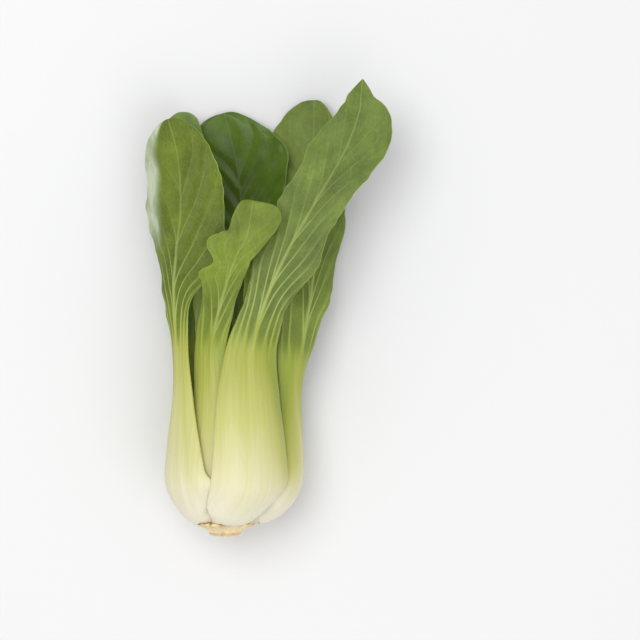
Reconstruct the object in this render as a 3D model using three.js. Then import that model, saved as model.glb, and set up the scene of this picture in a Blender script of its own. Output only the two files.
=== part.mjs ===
// A head of bok choy, cut at the root and lying on its back, in millimetres.
// +Y runs from the cut base to the leaf tips, +Z points up from the surface that the head lies on.
// The head is a short stem, the crown, with eleven leaves round it. Each leaf is one piece: a thick
// spoon-shaped stalk that narrows to a neck, and a thin waved blade that the stalk runs into as a rib.
// The origin is under the middle of the head, on the surface that it lies on.
import * as THREE from "three";

// Driving dimensions. The head's axis is this high above the surface
const AXIS_HEIGHT = 34;
// Thickness of a stalk's margin and of a blade
const STALK_EDGE = 1.5;
const BLADE_THICKNESS = 0.9;
// Height of the flutes along a stalk, and how many there are across it
const FLUTE_HEIGHT = 0.25;
const FLUTES = 6;
// Half width of the rib along a blade
const RIB_HALF_WIDTH = 2.6;
// Where a leaf lies on the surface, its inner face stays this high above it
const RESTING_SKIN = 0.9;
// The cut base is off the head's axis by this much, and the head leans back to it over this length
const ROOT_OFFSET = -3.7;
const LEAN_REACH = 30;
// Over this length from the cut base the stalks turn from their place on the crown to their own side
const ROOT_REACH = 27;

// The stalks sit in layers round the head's axis. Each layer gives the stalk's distance from the axis
// and its distance along the axis, from where it leaves the crown to its shoulder, and its thickness.
const LAYERS = {
  outer: { radius: [16, 27.2, 32, 31.6, 28.6], along: [8.4, 13.5, 27, 48, 75], thickness: 5.4 },
  second: { radius: [12, 20, 26.2, 25.8, 23.4], along: [12.6, 18, 30, 50, 75], thickness: 4.8 },
  third: { radius: [8.6, 14, 19, 19.2, 18], along: [16.5, 22, 33, 50, 72], thickness: 4 },
  heart: { radius: [5.6, 8.5, 11, 11.5, 11], along: [20.5, 27, 37, 50, 66], thickness: 3 },
};
// A stalk's half width at the same five places, as a share of its widest, for a taper of 0 and of 1
const SPOON_BROAD = [0.5, 0.82, 1, 0.94, 0.8];
const SPOON_TAPERED = [0.5, 0.82, 1, 0.8, 0.46];
// The cross curve at those places, as a share of a circle's round the axis: less where the head flares
const ROUND_SHARE = [0.65, 0.8, 1, 1, 1];
// How much of the stalk's thickness is left in the rib, from the crown to the tip
const RIB_SHARE = [0.7, 0.92, 1, 0.92, 0.74, 0.5, 0.3, 0.2, 0.12, 0.07, 0.04, 0.03, 0.03];
// The crown's outline, from its flat cut face to its growing point, as [distance from the axis, along]
const CROWN_PROFILE = [
  [0, 0], [7.6, 0], [8.8, 1.4], [10.2, 3.6], [13, 5.2], [15.3, 6.3], [14.6, 7.5], [12.2, 8.4], [10.1, 10.6],
  [7.9, 14.2], [6.2, 16], [5, 18.4], [3.4, 20.4], [1.8, 23.4], [0, 26],
];

// The leaves. facing is the side of the head that a stalk is on, in degrees: 0 up, 90 right, 180 down.
// spoon is the stalk's largest half width, roundness its cross curve's radius as a share of its
// distance from the axis, and swell moves its distance from the axis. base does so near the crown,
// where the stalk is turned by rootTurn, in degrees. By its shoulder the stalk has leant to the right
// by lean and turned by twist. A blade's stations run from the neck to the tip, as
// [x, y, z, face, left, right, cup]: a point of the rib, the way its outer side faces in degrees, the
// half widths on both sides, and the cross curve in 1/m, plus for margins that turn inwards. wave is
// the height, length and phase of the margin's waves. point tells how the tip closes: 1 rounded, more
// for a pointed tip, less for a blunt one. notches are those of the left margin, each as
// [y, share of the half width, width], with a share below 0 for an ear. fold turns the left margin
// back: it starts at u across the leaf, turns by an angle in degrees and widens the margin by
// stretch, growing from one y to another.
const LEAVES = {
  leaf_front: {
    layer: "outer", facing: 23.5, spoon: 23.4, taper: 0, base: 0.84, rootTurn: -14,
    wave: [1.6, 52, 0.3], point: 1.8,
    blade: [
      [11.6, 100, 58, 18, 13.8, 14.6, 34],
      [18, 124, 59, 6, 10.5, 12.5, 22],
      [30, 151, 59.5, -6, 15, 17, 9],
      [46.5, 180, 57, -8, 17, 14, 6],
      [60, 204, 52.5, -6, 17, 20, 5],
      [67, 223, 48.5, -4, 10.8, 17.5, 5],
      [68.2, 232.5, 46, -2, 6.4, 7.6, 5],
      [69, 241.5, 43, 0, 2.8, 2.8, 4],
    ],
  },
  leaf_left: {
    layer: "outer", facing: -61, spoon: 22.6, taper: 1, base: 0.82, rootTurn: -18, lean: -1.6,
    wave: [1.8, 60, 0.1], point: 0.9, fold: { u: -0.5, angle: 18, stretch: 1.25, from: 146, to: 168 },
    blade: [
      [-27.8, 100, 47.5, -58, 8, 8.4, 32],
      [-29.8, 125, 49.5, -46, 9, 12.2, 26],
      [-28.6, 151, 49.5, -32, 18, 27, 20],
      [-26.5, 177, 48, -26, 24.5, 23.6, 15],
      [-28.5, 200, 45, -20, 23.5, 19, 14],
      [-33.8, 220.5, 41, -18, 18, 13.5, 12],
    ],
  },
  leaf_middle: {
    layer: "second", facing: -21, spoon: 17.5, taper: 0.3, base: 0.86, lean: -1.2,
    wave: [1.6, 40, 0.62], point: 0.5, notches: [[134.5, -0.2, 3], [141, 0.34, 4.2], [148, -0.13, 3.4]],
    blade: [
      [-10, 100, 54.6, -20, 10.4, 8, 34],
      [-4.5, 125, 62, -1, 10.6, 7.5, 20],
      [2.5, 146, 66, -1, 16, 7.5, 10],
      [8.8, 158.5, 67.5, -3, 10.5, 11.5, 9],
      [11.8, 176.5, 67, -2, 9.8, 21, 9],
    ],
  },
  leaf_back: {
    layer: "outer", facing: 172, spoon: 22.5, taper: 0, base: 0.9, wave: [1.6, 56, 0.0], point: 0.75,
    blade: [
      [4.2, 100, 4.8, 173, 13.5, 18.5, 30],
      [4, 125, 3.2, 176, 15, 23, 20],
      [3.6, 150, 1.9, 174, 17, 25, 14],
      [4, 176, 1.6, 171, 25, 28, 14],
      [1.5, 199, 1.8, 170, 30, 27, 13],
      [-5, 226.5, 3.4, 170, 14.5, 24, 12],
    ],
  },
  leaf_right: {
    layer: "outer", facing: 97, spoon: 16, taper: 0.2, base: 0.97, swell: 1.06, roundness: 0.6,
    lean: 3, twist: -34, wave: [1.6, 48, 0.45], point: 0.65,
    blade: [
      [36.5, 100, 37, 42, 14, 10.5, 42],
      [41, 125, 31, 30, 13, 11.5, 22],
      [44, 152, 21.5, 14, 10, 14, 14],
      [44, 181, 12, 0, 12, 17, 10],
      [43, 206, 7.5, -10, 23, 18, 8],
      [43.5, 233, 7.5, -12, 17, 9.5, 8],
    ],
  },
  leaf_back_left: {
    layer: "second", facing: -127, spoon: 16, taper: 0.5, base: 0.86, swell: 1.1, roundness: 0.75,
    wave: [1.6, 46, 0.8], point: 0.75,
    blade: [
      [-25, 100, 16.5, -128, 8.5, 8.5, 40],
      [-26.5, 125, 17.5, -140, 10, 10, 24],
      [-27, 152, 18, -154, 15, 15, 13],
      [-27.5, 180, 17.5, -160, 15, 18, 10],
      [-27, 205, 16.5, -163, 11, 16.5, 10],
      [-26, 226, 16, -165, 12, 10, 8],
    ],
  },
  inner_right: {
    layer: "third", facing: 42, spoon: 11.5, taper: 0.3, wave: [1.2, 34, 0.2],
    blade: [
      [12, 95, 47.5, 40, 7, 7, 40],
      [15, 122, 49.5, 34, 8.5, 8.5, 24],
      [15.5, 148, 48.5, 28, 11, 10, 14],
      [17, 173, 47.5, 24, 8.5, 8, 12],
    ],
  },
  inner_back: {
    layer: "third", facing: 160, spoon: 11.5, taper: 0.3, wave: [1.2, 36, 0.5],
    blade: [
      [6.4, 95, 16.6, 160, 7, 7, 40],
      [8.5, 120, 16.5, 164, 9.5, 9.5, 24],
      [9.5, 146, 17.5, 168, 14, 14, 14],
      [9, 172, 19, 170, 10.5, 10.5, 12],
    ],
  },
  inner_left: {
    layer: "third", facing: -84, spoon: 11.5, taper: 0.3, wave: [1.2, 34, 0.75],
    blade: [
      [-17.8, 95, 36, -86, 7, 7, 40],
      [-18.4, 120, 34.5, -74, 8.5, 9.5, 24],
      [-17, 144, 33.5, -78, 11, 11, 16],
      [-15, 166, 33, -80, 8.5, 8.5, 12],
    ],
  },
  heart_right: {
    layer: "heart", facing: 96, spoon: 7.5, taper: 0.2, wave: [0.8, 26, 0.1],
    blade: [
      [11, 84, 33.4, 94, 5, 5, 60],
      [11.5, 104, 34, 90, 7, 7, 40],
      [10.5, 124, 35, 86, 5.5, 5.5, 30],
    ],
  },
  heart_left: {
    layer: "heart", facing: -70, spoon: 7.5, taper: 0.2, wave: [0.8, 26, 0.6],
    blade: [
      [-9.5, 80, 38, -72, 5, 5, 60],
      [-9, 98, 39, -76, 6.5, 6.5, 40],
      [-7.5, 114, 40, -80, 5, 5, 30],
    ],
  },
};

// How finely a leaf is faceted: rows along it and columns across it
const FACETS = { outer: [42, 12], second: [36, 12], third: [20, 8], heart: [16, 8] };
// The rows over which the tip rounds off, and the share of the half width that is left at its end
const TIP_ROWS = 5;
const TIP_WIDTH = 0.06;
// Rows are closer together near the crown: 1 would space them evenly
const ROW_GROWTH = 1.25;
// Steps by which a leaf's length is measured, and the crown's sides
const LENGTH_STEPS = 400;
const CROWN_SIDES = 28;
// The share of the half width over which a fold turns
const FOLD_WIDTH = 0.15;

// Colours of the crown and, for each layer, of the leaf
const COLOURS = { crown: 0xe3cfa0, outer: 0x8a9f4c, second: 0x9fb257, third: 0xaebd62, heart: 0xc6cf7c };
const ROUGHNESS = 0.5;

const radians = THREE.MathUtils.degToRad;
const mix = THREE.MathUtils.lerp;
const TURN = 2 * Math.PI;

// How far off the axis the middle of the head is, so far along it
function rootOffset(along) {
  return ROOT_OFFSET * Math.max(0, 1 - along / LEAN_REACH);
}

// Every station of a leaf, from the crown to the tip
function stationsOf(leaf) {
  const layer = LAYERS[leaf.layer];
  const stalk = layer.radius.map((radius, i) => {
    const along = layer.along[i];
    const base = i === 1 ? (leaf.base ?? 1) : 1;
    const out = radius * (i < 2 ? base : (leaf.swell ?? 1));
    const half = leaf.spoon * mix(SPOON_BROAD[i], SPOON_TAPERED[i], leaf.taper) * Math.sqrt(base);
    const towardsShoulder = (along / layer.along[4]) ** 2;
    const facing = leaf.facing + (leaf.rootTurn ?? 0) * Math.max(0, 1 - along / ROOT_REACH);
    const x = out * Math.sin(radians(facing)) + rootOffset(along) + (leaf.lean ?? 0) * towardsShoulder;
    const z = AXIS_HEIGHT + out * Math.cos(radians(facing));
    const face = facing + (leaf.twist ?? 0) * towardsShoulder;
    const cup = (1000 * ROUND_SHARE[i]) / (out * (leaf.roundness ?? 1));
    return [x, along, z, face, half, half, cup];
  });
  return [...stalk, ...leaf.blade];
}

// A smooth curve through rows of numbers, a cubic one, at place p counted in rows
function through(rows, p) {
  const last = rows.length - 1;
  const i = Math.min(Math.floor(p), last - 1);
  const f = p - i;
  const [a, b, c, d] = [i - 1, i, i + 1, i + 2].map((k) => rows[THREE.MathUtils.clamp(k, 0, last)]);
  return b.map((_, k) => {
    const linear = (c[k] - a[k]) * f;
    const square = (2 * a[k] - 5 * b[k] + 4 * c[k] - d[k]) * f * f;
    const cube = (3 * b[k] - a[k] - 3 * c[k] + d[k]) * f * f * f;
    return b[k] + (linear + square + cube) / 2;
  });
}

// Places along the leaf, closer together near the crown and where the tip rounds off.
// Each is { p, length, narrow }: narrow is the share of the half width that the rounding leaves.
function placesOf(stations, rows, point) {
  const last = stations.length - 1;
  const curve = [{ p: 0, length: 0 }];
  let before = through(stations, 0);
  for (let k = 1; k <= LENGTH_STEPS; k++) {
    const p = (k / LENGTH_STEPS) * last;
    const here = through(stations, p);
    const step = Math.hypot(here[0] - before[0], here[1] - before[1], here[2] - before[2]);
    curve.push({ p, length: curve[k - 1].length + step });
    before = here;
  }
  const total = curve[LENGTH_STEPS].length;
  const rounded = total - curve[Math.round((LENGTH_STEPS * (last - 1)) / last)].length;
  const at = (length) => {
    const k = Math.max(1, curve.findIndex((c) => c.length >= length - 1e-9));
    const share = (length - curve[k - 1].length) / (curve[k].length - curve[k - 1].length);
    return mix(curve[k - 1].p, curve[k].p, share);
  };
  const straight = rows - TIP_ROWS;
  return Array.from({ length: rows + 1 }, (_, i) => {
    const round = Math.max(0, (i - straight) / TIP_ROWS) * (Math.PI / 2);
    const length = i <= straight
      ? (total - rounded) * (i / straight) ** ROW_GROWTH
      : total - rounded + rounded * Math.sin(round);
    return { p: at(length), length, narrow: Math.max(TIP_WIDTH, Math.max(0, Math.cos(round)) ** point) };
  });
}

// The leaf's cross curve, a circle's: how far sideways and inwards it gets over an arc of it
function crossCurve(arc, cup) {
  const bend = (cup / 1000) * arc;
  if (Math.abs(bend) < 1e-6) return { sideways: arc, inwards: 0 };
  return { sideways: (arc * Math.sin(bend)) / bend, inwards: (arc * (1 - Math.cos(bend))) / bend };
}

// The middle of the leaf at a place along it and u across it, from -1 to 1, and the way out of it
function middleOf(leaf, stations, place, u) {
  const [x, y, z, face, left, right, cup] = through(stations, place.p);
  const reach = 1e-3;
  const last = stations.length - 1;
  const [ahead, behind] = [
    through(stations, Math.min(place.p + reach, last)),
    through(stations, Math.max(place.p - reach, 0)),
  ];
  const tangent = new THREE.Vector3(ahead[0] - behind[0], ahead[1] - behind[1], ahead[2] - behind[2]);
  const outward = new THREE.Vector3(Math.sin(radians(face)), 0, Math.cos(radians(face)));
  // A stalk that leans sideways is sheared, and only the blade turns with its rib
  const aside = new THREE.Vector3(outward.z, 0, -outward.x);
  const sheared = 1 - THREE.MathUtils.smoothstep(place.p, 2, 5);
  tangent.addScaledVector(aside, -tangent.dot(aside) * sheared).normalize();
  outward.addScaledVector(tangent, -outward.dot(tangent)).normalize();
  const across = new THREE.Vector3().crossVectors(tangent, outward);

  const [height, wavelength, phase] = leaf.wave;
  const blade = THREE.MathUtils.smoothstep(place.p, 5, 6.5);
  const wave = TURN * (place.length / wavelength + phase) + (u < 0 ? 1.9 : 0);
  const notch = (u < 0 ? (leaf.notches ?? []) : [])
    .reduce((share, [at, depth, width]) => share - depth * Math.exp(-(((y - at) / width) ** 2)), 1);
  const half = (u < 0 ? left : right) * notch * (1 + 0.05 * blade * Math.sin(wave * 1.3 + 0.7));
  const flat = u * half * place.narrow;
  const fold = leaf.fold ?? { u: -1, angle: 0, stretch: 1, from: 0, to: 1 };
  const folded = THREE.MathUtils.smoothstep(y, fold.from, fold.to);
  const crease = fold.u * half * place.narrow;
  const arc = u < fold.u ? crease + (flat - crease) * mix(1, fold.stretch, folded) : flat;
  const [whole, start] = [crossCurve(arc, cup), crossCurve(crease, cup)];
  const turned = radians(fold.angle) * folded * THREE.MathUtils.smoothstep(fold.u - u, 0, FOLD_WIDTH);
  const [run, fall] = [whole.sideways - start.sideways, whole.inwards - start.inwards];
  const sideways = start.sideways + run * Math.cos(turned) + fall * Math.sin(turned);
  const inwards = start.inwards - run * Math.sin(turned) + fall * Math.cos(turned);
  const bend = (cup / 1000) * arc - turned;
  const normal = outward.clone().multiplyScalar(Math.cos(bend)).addScaledVector(across, Math.sin(bend));
  const ripple = blade * height * Math.abs(u) ** 2.2 * Math.sin(wave) * Math.sqrt(place.narrow);
  const point = new THREE.Vector3(x, y, z)
    .addScaledVector(across, sideways)
    .addScaledVector(outward, -inwards)
    .addScaledVector(normal, ripple);
  return { point, normal, arc, half: half * place.narrow };
}

// The leaf's thickness there: a full crescent in the stalk that shrinks to a rib along the blade
function thicknessOf(leaf, place, u, arc, half) {
  const blade = THREE.MathUtils.smoothstep(place.p, 4, 6);
  const rib = through(RIB_SHARE.map((share) => [share]), place.p)[0] * LAYERS[leaf.layer].thickness;
  const crescent = (1 - u * u) ** 0.8;
  const ridge = Math.exp(-((arc / RIB_HALF_WIDTH) ** 2)) * Math.min(1, half / RIB_HALF_WIDTH);
  const edge = mix(STALK_EDGE, BLADE_THICKNESS, blade);
  return edge + Math.max(0, rib - edge * 0.2) * mix(crescent, ridge, blade);
}

// One leaf as a closed solid: an outer and an inner face joined round their edges
function leafGeometry(leaf) {
  const stations = stationsOf(leaf);
  const [rows, columns] = FACETS[leaf.layer];
  const places = placesOf(stations, rows, leaf.point ?? 1);
  const faces = { outer: [], inner: [] };
  for (const place of places) {
    for (let j = 0; j <= columns; j++) {
      const u = (2 * j) / columns - 1;
      const { point, normal, arc, half } = middleOf(leaf, stations, place, u);
      const depth = thicknessOf(leaf, place, u, arc, half) / 2;
      const stalk = 1 - THREE.MathUtils.smoothstep(place.p, 4.5, 6);
      const flute = FLUTE_HEIGHT * stalk * Math.cos(TURN * FLUTES * 0.5 * u) * (1 - u * u);
      const outer = point.clone().addScaledVector(normal, depth + flute);
      const inner = point.clone().addScaledVector(normal, -depth);
      outer.z = Math.max(outer.z, 0);
      inner.z = Math.max(inner.z, RESTING_SKIN);
      faces.outer.push(outer);
      faces.inner.push(inner);
    }
  }
  const positions = [...faces.outer, ...faces.inner].flatMap((v) => [v.x, v.y, v.z]);
  const innerStart = faces.outer.length;
  const at = (i, j) => i * (columns + 1) + j;
  const indices = [];
  const quad = (a, b, c, d) => indices.push(a, b, c, a, c, d);
  for (let i = 0; i < rows; i++) {
    for (let j = 0; j < columns; j++) {
      // Both faces are split along the same diagonal, so that they never cross
      const [a, b, c, d] = [at(i, j), at(i, j + 1), at(i + 1, j + 1), at(i + 1, j)];
      quad(a, b, c, d);
      quad(a + innerStart, d + innerStart, c + innerStart, b + innerStart);
    }
    const [low, high] = [at(i, 0), at(i + 1, 0)];
    quad(low, high, high + innerStart, low + innerStart);
    const [lowRight, highRight] = [at(i, columns), at(i + 1, columns)];
    quad(lowRight + innerStart, highRight + innerStart, highRight, lowRight);
  }
  for (let j = 0; j < columns; j++) {
    const [left, right] = [at(0, j), at(0, j + 1)];
    quad(left + innerStart, right + innerStart, right, left);
    const [tipLeft, tipRight] = [at(rows, j), at(rows, j + 1)];
    quad(tipLeft, tipRight, tipRight + innerStart, tipLeft + innerStart);
  }
  const geometry = new THREE.BufferGeometry();
  geometry.setAttribute("position", new THREE.Float32BufferAttribute(positions, 3));
  geometry.setIndex(indices);
  geometry.computeVertexNormals();
  return geometry;
}

// The crown: the short stem, turned about the head's axis, with its cut end off that axis
function crownGeometry() {
  const profile = CROWN_PROFILE.map(([radius, along]) => new THREE.Vector2(radius, along));
  const geometry = new THREE.LatheGeometry(profile, CROWN_SIDES);
  const points = geometry.attributes.position;
  for (let i = 0; i < points.count; i++) {
    points.setX(i, points.getX(i) + rootOffset(points.getY(i)));
  }
  return geometry;
}

function mesh(name, geometry, colour) {
  const material = new THREE.MeshStandardMaterial({ color: colour, roughness: ROUGHNESS, metalness: 0 });
  const made = new THREE.Mesh(geometry, material);
  made.name = name;
  return made;
}

const head = new THREE.Group();
const crown = mesh("crown", crownGeometry(), COLOURS.crown);
crown.position.z = AXIS_HEIGHT;
head.add(crown);
for (const [name, leaf] of Object.entries(LEAVES)) {
  head.add(mesh(name, leafGeometry(leaf), COLOURS[leaf.layer]));
}

// The origin goes under the middle of the head
const box = new THREE.Box3().setFromObject(head);
const middle = box.getCenter(new THREE.Vector3());
head.position.set(-middle.x, -middle.y, -box.min.z);

export default head;
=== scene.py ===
# A head of bok choy that lies on a pale floor, seen from above.
# Every leaf of the frame is replaced by a fine one on the same curves: the same stations, waves and
# notches, in millimetres, with ribs, veins, puckers and ruffled margins added.
import math
import bpy
import numpy as np
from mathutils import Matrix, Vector


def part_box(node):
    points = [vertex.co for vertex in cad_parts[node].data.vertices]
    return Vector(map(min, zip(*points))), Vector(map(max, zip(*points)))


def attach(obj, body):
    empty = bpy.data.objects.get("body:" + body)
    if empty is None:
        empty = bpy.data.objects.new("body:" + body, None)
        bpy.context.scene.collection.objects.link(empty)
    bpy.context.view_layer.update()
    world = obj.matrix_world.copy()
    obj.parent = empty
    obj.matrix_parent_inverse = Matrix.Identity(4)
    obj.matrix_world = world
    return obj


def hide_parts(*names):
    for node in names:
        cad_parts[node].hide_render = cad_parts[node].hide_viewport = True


MM = 0.001
TURN = 2 * math.pi

# The head's own axes: x across, y from the cut base to the tips, z up. Its axis is this high.
AXIS_HEIGHT = 34
# The cut base is off the axis by this much, and the head leans back to it over this length
ROOT_OFFSET = -3.7
LEAN_REACH = 30
# Over this length from the cut base the stalks turn from their place on the crown to their own side
ROOT_REACH = 27
# The crown is widest this far along, so the middle of its box is off the axis by the offset there
CROWN_WIDEST_AT = 6.3
# Thickness of a stalk's margin and of a blade
STALK_EDGE = 1.5
BLADE_THICKNESS = 0.55
# Where a leaf lies on the floor, its inner and its outer face stay this high above it
RESTING_SKIN = 0.9
FLOOR_GAP = 0.02
# The share of the half width over which a folded margin turns
FOLD_WIDTH = 0.15
# A leaf starts inside the crown, this far from its first station, counted in stations
ROOT_START = -0.22
# The neck, where a stalk turns into a blade, counted in stations, and how many its colour takes
NECK_AT = 4.6
COLOUR_SPAN = 1.5
# One row in so many is in the rounded tip, where this share of the half width is left at the end
TIP_ROWS_IN = 6
TIP_WIDTH = 0.03
# Steps by which a leaf's length is measured, and the step for its direction, counted in stations
LENGTH_STEPS = 2000
REACH = 1e-3
# Random values on each side of the noise, and what keeps a leaf's right half apart from its left
NOISE_VALUES = 64
RIGHT_SIDE = 7.3
# The first leaf's seed, and the crown's
FIRST_SEED = 11
CROWN_SEED = 500

# The stalks sit in layers round the head's axis. Each layer gives the stalk's distance from the axis
# and its distance along the axis, from where it leaves the crown to its shoulder, and its thickness.
LAYERS = {
    "outer": {"radius": (16, 27.2, 32, 31.6, 28.6), "along": (8.4, 13.5, 27, 48, 75), "thickness": 5.4},
    "second": {"radius": (12, 20, 26.2, 25.8, 23.4), "along": (12.6, 18, 30, 50, 75), "thickness": 4.8},
    "third": {"radius": (8.6, 14, 19, 19.2, 18), "along": (16.5, 22, 33, 50, 72), "thickness": 4},
    "heart": {"radius": (5.6, 8.5, 11, 11.5, 11), "along": (20.5, 27, 37, 50, 66), "thickness": 3},
}
# A stalk's half width at the same five places, as a share of its widest, for a taper of 0 and of 1
SPOON_BROAD = (0.5, 0.82, 1, 0.94, 0.8)
SPOON_TAPERED = (0.5, 0.82, 1, 0.8, 0.46)
# The cross curve at those places, as a share of a circle's round the axis: less where the head flares
ROUND_SHARE = (0.65, 0.8, 1, 1, 1)
# How much of the stalk's thickness is left in the rib, from the crown to the tip
RIB_SHARE = (0.7, 0.92, 1, 0.92, 0.74, 0.5, 0.3, 0.2, 0.12, 0.07, 0.04, 0.03, 0.03)
# The rib's half width, at the neck and at the tip
RIB_HALF_WIDTH = (1.35, 0.45)

# The leaves. facing is the side of the head that a stalk is on, in degrees: 0 up, 90 right, 180 down.
# spoon is the stalk's largest half width, roundness its cross curve's radius as a share of its
# distance from the axis, and swell moves its distance from the axis. base does so near the crown,
# where the stalk is turned by root_turn, in degrees. By its shoulder the stalk has leant to the right
# by lean and turned by twist. A blade's stations run from the neck to the tip, as
# [x, y, z, face, left, right, cup]: a point of the rib, the way its outer side faces in degrees, the
# half widths on both sides, and the cross curve in 1/m, plus for margins that turn inwards. wave is
# the height, length and phase of the margin's waves. point tells how the tip closes: 1 rounded, more
# for a pointed tip, less for a blunt one. notches are those of the left margin, each as
# [y, share of the half width, width], with a share below 0 for an ear. fold turns the left margin
# back: it starts at u across the leaf, turns by an angle in degrees and widens the margin by
# stretch, growing from one y to another.
LEAVES = {
    "leaf_front": {
        "layer": "outer", "facing": 23.5, "spoon": 23.4, "taper": 0, "base": 0.84, "root_turn": -14,
        "wave": (1.6, 52, 0.3), "point": 1.8,
        "blade": (
            (11.6, 100, 58, 18, 13.8, 14.6, 34),
            (18, 124, 59, 6, 10.5, 12.5, 22),
            (30, 151, 59.5, -6, 15, 17, 9),
            (46.5, 180, 57, -8, 17, 14, 6),
            (60, 204, 52.5, -6, 17, 20, 5),
            (67, 223, 48.5, -4, 10.8, 17.5, 5),
            (68.2, 232.5, 46, -2, 6.4, 7.6, 5),
            (69, 241.5, 43, 0, 2.8, 2.8, 4),
        ),
    },
    "leaf_left": {
        "layer": "outer", "facing": -61, "spoon": 22.6, "taper": 1, "base": 0.82,
        "root_turn": -18, "lean": -1.6,
        "wave": (1.8, 60, 0.1), "point": 0.9,
        "fold": {"u": -0.5, "angle": 18, "stretch": 1.25, "from": 146, "to": 168},
        "blade": (
            (-27.8, 100, 47.5, -58, 8, 8.4, 32),
            (-29.8, 125, 49.5, -46, 9, 12.2, 26),
            (-28.6, 151, 49.5, -32, 18, 27, 20),
            (-26.5, 177, 48, -26, 24.5, 23.6, 15),
            (-28.5, 200, 45, -20, 23.5, 19, 14),
            (-33.8, 220.5, 41, -18, 18, 13.5, 12),
        ),
    },
    "leaf_middle": {
        "layer": "second", "facing": -21, "spoon": 17.5, "taper": 0.3, "base": 0.86, "lean": -1.2,
        "wave": (1.6, 40, 0.62), "point": 0.5,
        "notches": ((134.5, -0.2, 3), (141, 0.34, 4.2), (148, -0.13, 3.4)),
        "blade": (
            (-10, 100, 54.6, -20, 10.4, 8, 34),
            (-4.5, 125, 62, -1, 10.6, 7.5, 20),
            (2.5, 146, 66, -1, 16, 7.5, 10),
            (8.8, 158.5, 67.5, -3, 10.5, 11.5, 9),
            (11.8, 176.5, 67, -2, 9.8, 21, 9),
        ),
    },
    "leaf_back": {
        "layer": "outer", "facing": 172, "spoon": 22.5, "taper": 0, "base": 0.9,
        "wave": (1.6, 56, 0.0), "point": 0.75,
        "blade": (
            (4.2, 100, 4.8, 173, 13.5, 18.5, 30),
            (4, 125, 3.2, 176, 15, 23, 20),
            (3.6, 150, 1.9, 174, 17, 25, 14),
            (4, 176, 1.6, 171, 25, 28, 14),
            (1.5, 199, 1.8, 170, 30, 27, 13),
            (-5, 226.5, 3.4, 170, 14.5, 24, 12),
        ),
    },
    "leaf_right": {
        "layer": "outer", "facing": 97, "spoon": 16, "taper": 0.2, "base": 0.97,
        "swell": 1.06, "roundness": 0.6,
        "lean": 3, "twist": -34, "wave": (1.6, 48, 0.45), "point": 0.65,
        "blade": (
            (36.5, 100, 37, 42, 14, 10.5, 42),
            (41, 125, 31, 30, 13, 11.5, 22),
            (44, 152, 21.5, 14, 10, 14, 14),
            (44, 181, 12, 0, 12, 17, 10),
            (43, 206, 7.5, -10, 23, 18, 8),
            (43.5, 233, 7.5, -12, 17, 9.5, 8),
        ),
    },
    "leaf_back_left": {
        "layer": "second", "facing": -127, "spoon": 16, "taper": 0.5, "base": 0.86,
        "swell": 1.1, "roundness": 0.75,
        "wave": (1.6, 46, 0.8), "point": 0.75,
        "blade": (
            (-25, 100, 16.5, -128, 8.5, 8.5, 40),
            (-26.5, 125, 17.5, -140, 10, 10, 24),
            (-27, 152, 18, -154, 15, 15, 13),
            (-27.5, 180, 17.5, -160, 15, 18, 10),
            (-27, 205, 16.5, -163, 11, 16.5, 10),
            (-26, 226, 16, -165, 12, 10, 8),
        ),
    },
    "inner_right": {
        "layer": "third", "facing": 42, "spoon": 11.5, "taper": 0.3, "wave": (1.2, 34, 0.2),
        "blade": (
            (12, 95, 47.5, 40, 7, 7, 40),
            (15, 122, 49.5, 34, 8.5, 8.5, 24),
            (15.5, 148, 48.5, 28, 11, 10, 14),
            (17, 173, 47.5, 24, 8.5, 8, 12),
        ),
    },
    "inner_back": {
        "layer": "third", "facing": 160, "spoon": 11.5, "taper": 0.3, "wave": (1.2, 36, 0.5),
        "blade": (
            (6.4, 95, 16.6, 160, 7, 7, 40),
            (8.5, 120, 16.5, 164, 9.5, 9.5, 24),
            (9.5, 146, 17.5, 168, 14, 14, 14),
            (9, 172, 19, 170, 10.5, 10.5, 12),
        ),
    },
    "inner_left": {
        "layer": "third", "facing": -84, "spoon": 11.5, "taper": 0.3, "wave": (1.2, 34, 0.75),
        "blade": (
            (-17.8, 95, 36, -86, 7, 7, 40),
            (-18.4, 120, 34.5, -74, 8.5, 9.5, 24),
            (-17, 144, 33.5, -78, 11, 11, 16),
            (-15, 166, 33, -80, 8.5, 8.5, 12),
        ),
    },
    "heart_right": {
        "layer": "heart", "facing": 96, "spoon": 7.5, "taper": 0.2, "wave": (0.8, 26, 0.1),
        "blade": (
            (11, 84, 33.4, 94, 5, 5, 60),
            (11.5, 104, 34, 90, 7, 7, 40),
            (10.5, 124, 35, 86, 5.5, 5.5, 30),
        ),
    },
    "heart_left": {
        "layer": "heart", "facing": -70, "spoon": 7.5, "taper": 0.2, "wave": (0.8, 26, 0.6),
        "blade": (
            (-9.5, 80, 38, -72, 5, 5, 60),
            (-9, 98, 39, -76, 6.5, 6.5, 40),
            (-7.5, 114, 40, -80, 5, 5, 30),
        ),
    },
}

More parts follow.
